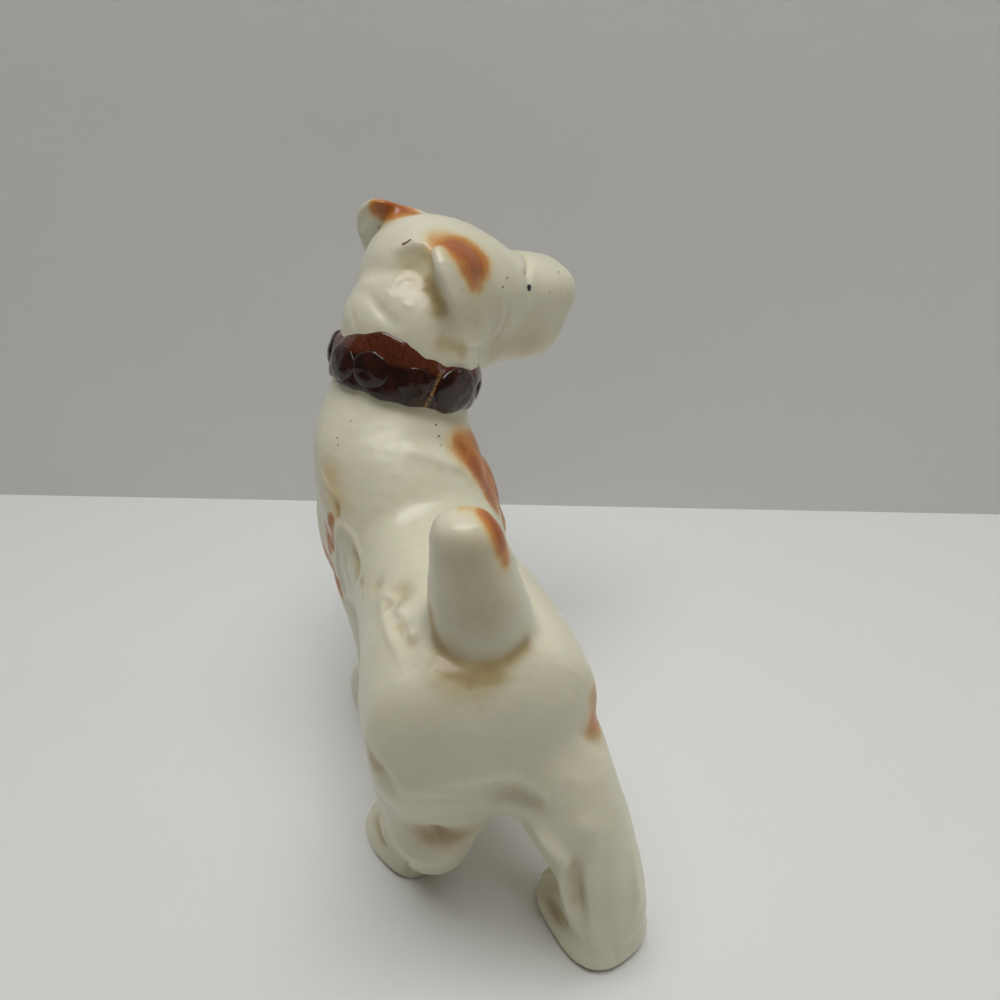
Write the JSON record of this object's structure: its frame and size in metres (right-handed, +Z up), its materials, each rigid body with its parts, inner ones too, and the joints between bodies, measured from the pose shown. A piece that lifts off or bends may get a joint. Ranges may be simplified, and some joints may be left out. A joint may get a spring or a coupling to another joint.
{
  "type": "porcelain dog figurine",
  "caption": "Free-standing glazed porcelain terrier with its head turned aside, folded ears, an upright docked tail, a hind leg stretched back and a studded collar.",
  "frame": {"origin": "middle of the bounding box, on the plane that the paws stand on", "axes": "+Z up, +Y towards the dog's chest, +X towards the dog's right, the side its head is turned to"},
  "size_m": [0.0468, 0.082, 0.0837],
  "materials": {
    "white_glaze": "glossy clear glaze over cream-white porcelain, with soft rust-brown painted patches on the ears, shoulders, tail and hip",
    "collar_glaze": "glossy dark red-brown painted glaze"
  },
  "bodies": {
    "root": {"torso": "white_glaze", "head": "white_glaze", "ear_left": "white_glaze", "ear_right": "white_glaze", "tail": "white_glaze", "foreleg_left": "white_glaze", "foreleg_right": "white_glaze", "hind_leg_left": "white_glaze", "hind_leg_right": "white_glaze", "collar_band": "collar_glaze", "collar_studs": "collar_glaze"}
  },
  "joints": []
}
